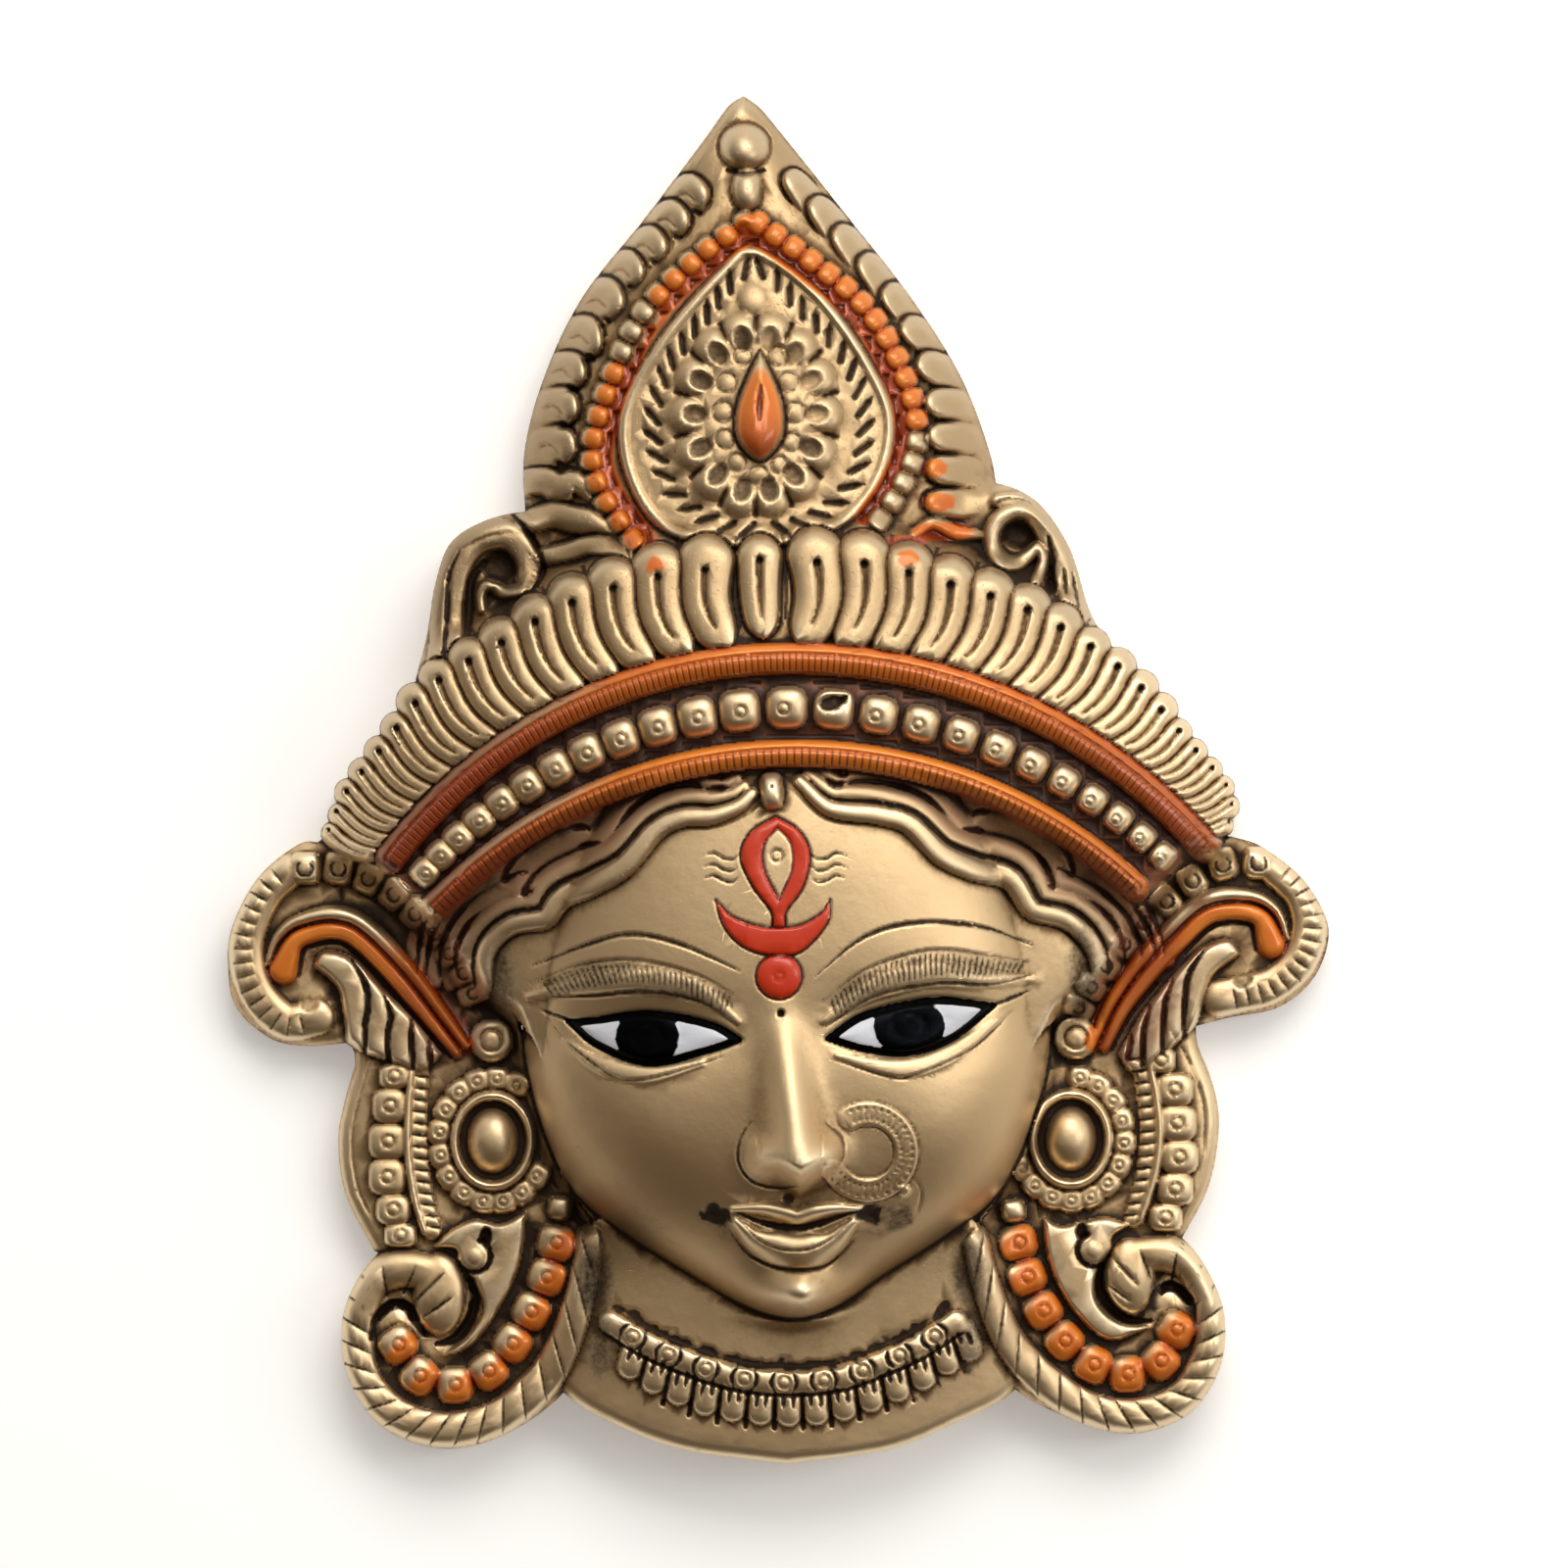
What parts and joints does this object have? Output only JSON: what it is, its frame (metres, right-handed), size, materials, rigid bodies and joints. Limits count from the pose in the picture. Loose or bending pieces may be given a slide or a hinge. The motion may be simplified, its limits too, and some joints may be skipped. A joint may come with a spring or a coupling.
{
  "type": "cast brass wall mask",
  "caption": "Cast brass wall mask of a crowned goddess face with a tall leaf crown, ear ornaments, tassels and a necklace, hollow behind and flat at the back rim.",
  "frame": {"origin": "centre of the mask's outline, on the plane of its flat back rim", "axes": "+X is to the viewer's right, +Y runs up the mask to the tip of the crown and +Z comes out of the face; the mask lies on its back rim"},
  "size_m": [0.2485, 0.308, 0.0588],
  "materials": {
    "antique_brass": "satin antiqued cast brass with dark patina in the recesses, orange and red lacquer on the ornaments and painted eyes"
  },
  "bodies": {
    "root": {"mask": "antique_brass"}
  },
  "joints": []
}
